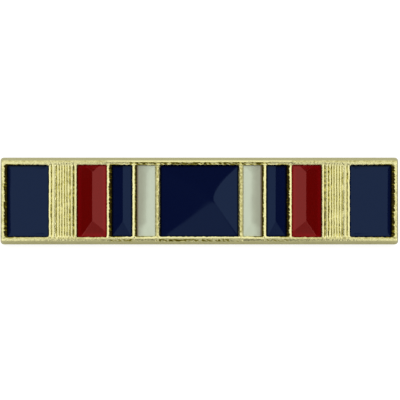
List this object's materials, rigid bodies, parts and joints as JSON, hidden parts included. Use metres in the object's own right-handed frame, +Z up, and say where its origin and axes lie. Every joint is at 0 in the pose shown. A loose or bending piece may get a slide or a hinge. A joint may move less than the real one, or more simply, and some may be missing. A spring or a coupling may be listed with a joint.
{
  "type": "medal lapel pin",
  "caption": "Small gold-plated bar with a raised rim, upright stripes of navy, red and white enamel, two ribbed gold fields, and a plain post on its back.",
  "frame": {"origin": "centre of the bounding box's bottom face, on the surface that the pin lies on", "axes": "+X along the bar, to the right seen from the front; -Y towards the viewer in front of the enamel; +Z up. At rest the bar leans back by 14.8 degrees, on its lower back edge and the end of the post's straight part."},
  "size_m": [0.0222, 0.0094, 0.0049],
  "materials": {
    "gold_plate": "polished",
    "enamel_navy": "gloss",
    "enamel_red": "gloss",
    "enamel_white": "gloss"
  },
  "bodies": {
    "root": {"bar": "gold_plate", "enamel_navy_centre": "enamel_navy", "enamel_white_left": "enamel_white", "enamel_blue_left": "enamel_navy", "enamel_red_left": "enamel_red", "enamel_navy_left": "enamel_navy", "enamel_white_right": "enamel_white", "enamel_blue_right": "enamel_navy", "enamel_red_right": "enamel_red", "enamel_navy_right": "enamel_navy", "post": "gold_plate"}
  },
  "joints": []
}
